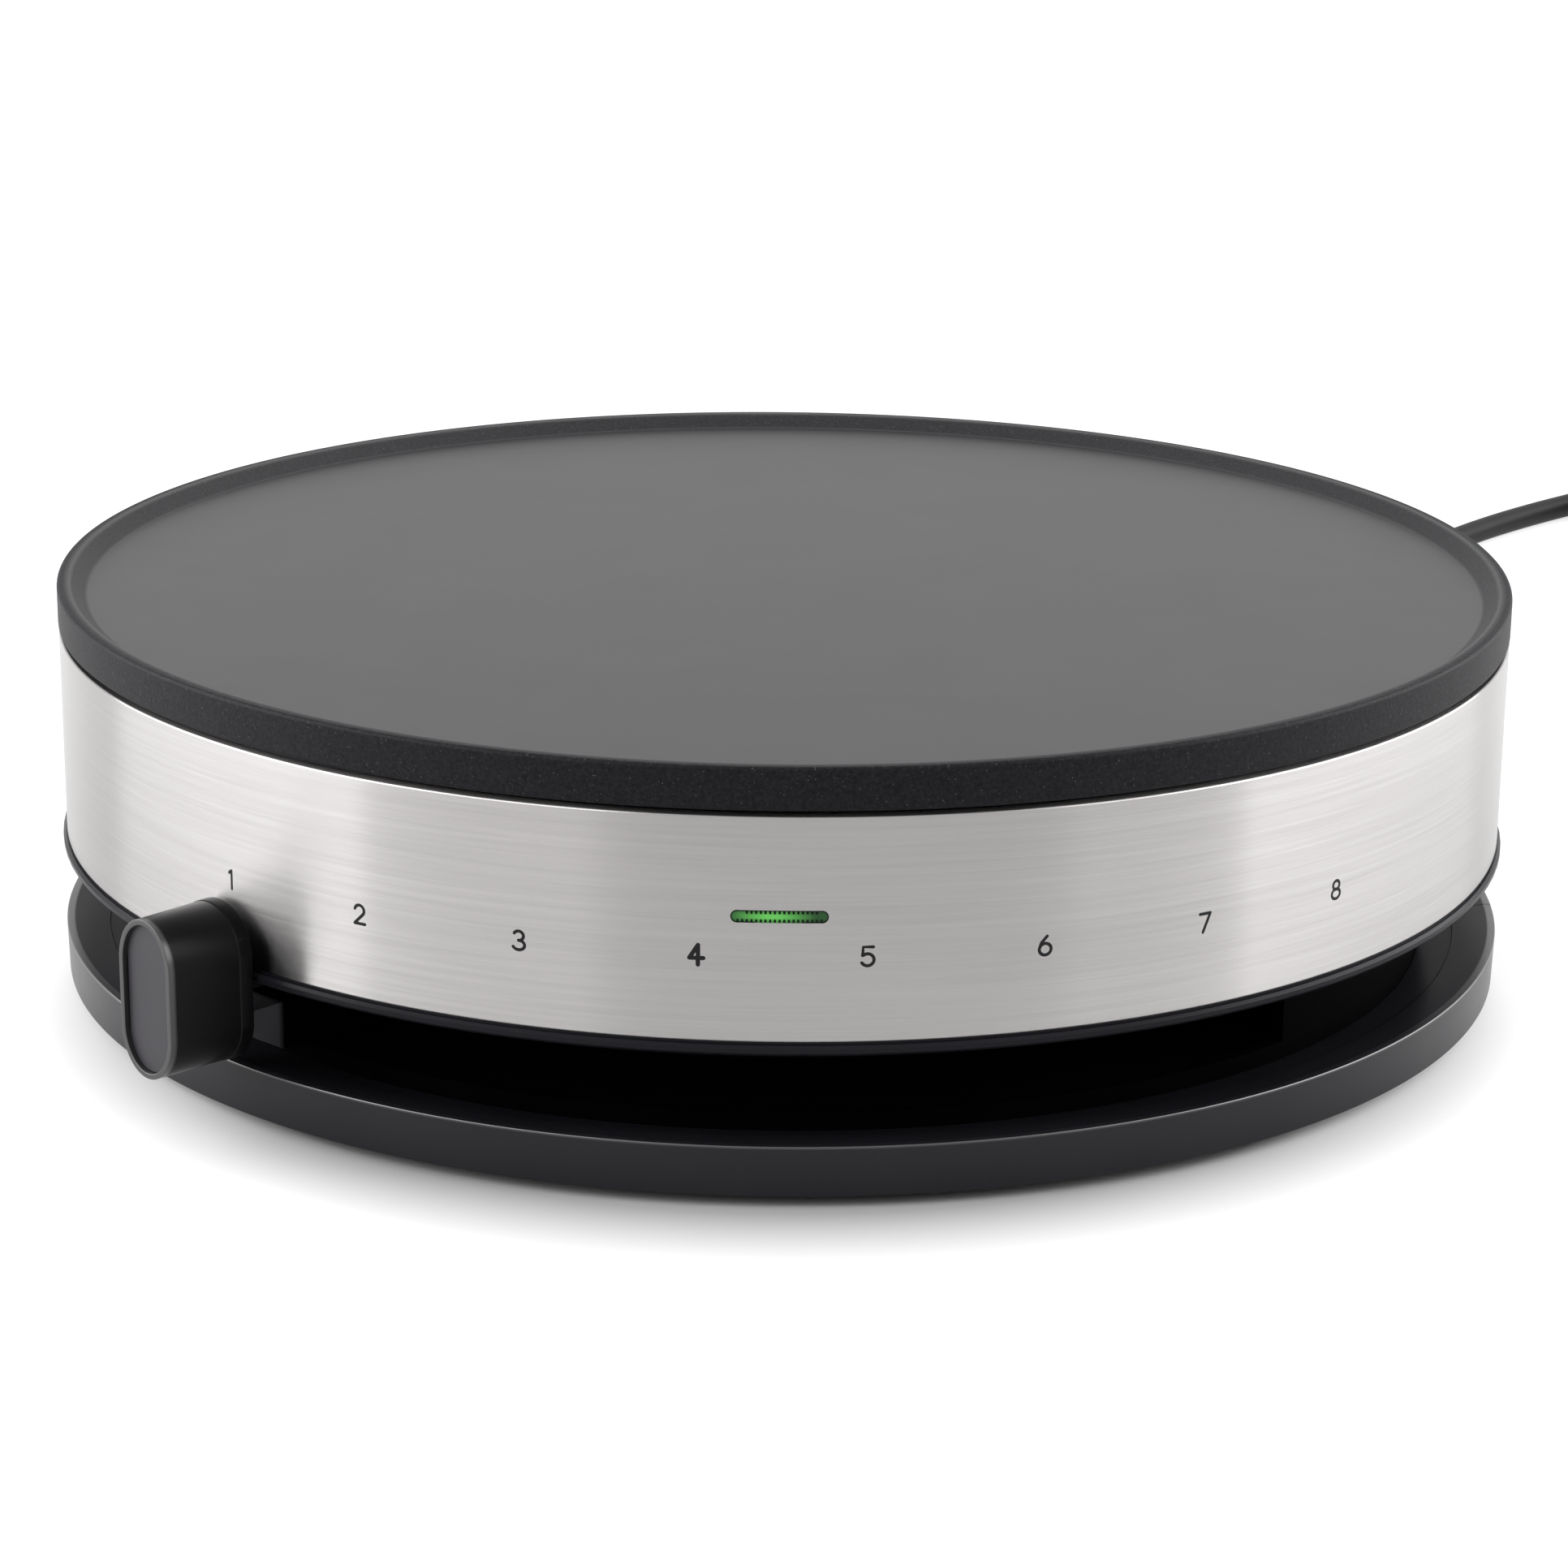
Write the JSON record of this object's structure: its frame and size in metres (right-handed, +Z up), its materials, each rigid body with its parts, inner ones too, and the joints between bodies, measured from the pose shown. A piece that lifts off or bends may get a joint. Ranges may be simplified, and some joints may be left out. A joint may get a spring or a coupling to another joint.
{
  "type": "electric crepe maker",
  "caption": "Round electric crepe maker: a dark cast cooking plate with a low rim on a brushed steel band, a narrow waist and a base tray with a swinging temperature lever.",
  "frame": {"origin": "on the table under the middle of the cooking plate", "axes": "+Z up along the axis of the plate; the front with the temperature scale faces -Y, +X is to the right seen from the front, and the mains lead leaves at the back towards +X"},
  "size_m": [0.5284, 0.6535, 0.0921],
  "materials": {
    "plate_coating": "cast aluminium with a dark, fine-grained non-stick coating",
    "steel": "brushed round the band",
    "sheet_steel": "plain sheet and turned steel",
    "zinc": "zinc-plated fastener",
    "housing": "satin black, heat-resistant",
    "knob": "satin black",
    "insert": "dark grey, flat",
    "lens": "green, clear",
    "lamp": "clear",
    "sheath": "oxidised",
    "insulator": "off-white, ceramic in the real object",
    "contact": "bright",
    "bimetal": "plain",
    "rubber": "soft black",
    "brown_lead": "smooth",
    "blue_lead": "smooth",
    "earth_lead": "smooth",
    "white_lead": "smooth",
    "cord": "satin black jacket",
    "pins": "nickel-plated"
  },
  "bodies": {
    "base": {"base_tray": "housing", "bimetal_strip": "bimetal", "bracket_screw": "zinc", "clamp_screws": "zinc", "clip_screw": "zinc", "coil_tie": "cord", "contact_rivets": "contact", "contact_springs": "contact", "cooking_plate": "plate_coating", "cord_clamp": "housing", "cord_coil": "cord", "cord_entry": "cord", "earth_lead": "earth_lead", "earth_tab": "sheet_steel", "element_pins": "sheet_steel", "element_seals": "insulator", "fuse_clip": "sheet_steel", "fuse_leads": "white_lead", "fuse_sleeve": "insulator", "heat_shield": "sheet_steel", "heating_element": "sheath", "housing_pan": "housing", "indicator_holder": "insulator", "indicator_lamp": "lamp", "indicator_lens": "lens", "lead_grommet": "rubber", "lever_washer": "insulator", "line_lead": "brown_lead", "mains_cores": "white_lead", "neutral_lead": "blue_lead", "plate_screws": "zinc", "plate_spacers": "sheet_steel", "plug_body": "cord", "plug_cord": "cord", "plug_pins": "pins", "power_cord": "cord", "rubber_feet": "rubber", "steel_band": "steel", "strain_relief": "rubber", "terminal_block": "insulator", "terminal_screws": "zinc", "thermal_fuse": "bimetal", "thermostat_bracket": "sheet_steel", "thermostat_insulators": "insulator", "thermostat_rivet": "zinc", "tray_screws": "zinc", "waist_ring": "housing"},
    "lever": {"lever_arm": "knob", "lever_knob": "knob", "knob_insert": "insert", "thermostat_spindle": "sheet_steel"}
  },
  "joints": [
    {"name": "temperature_lever", "type": "hinge", "parent": "base", "child": "lever", "pos_m": [0, 0, 0.02], "axis": [0, 0, 1], "range_deg": [0, 88]}
  ]
}
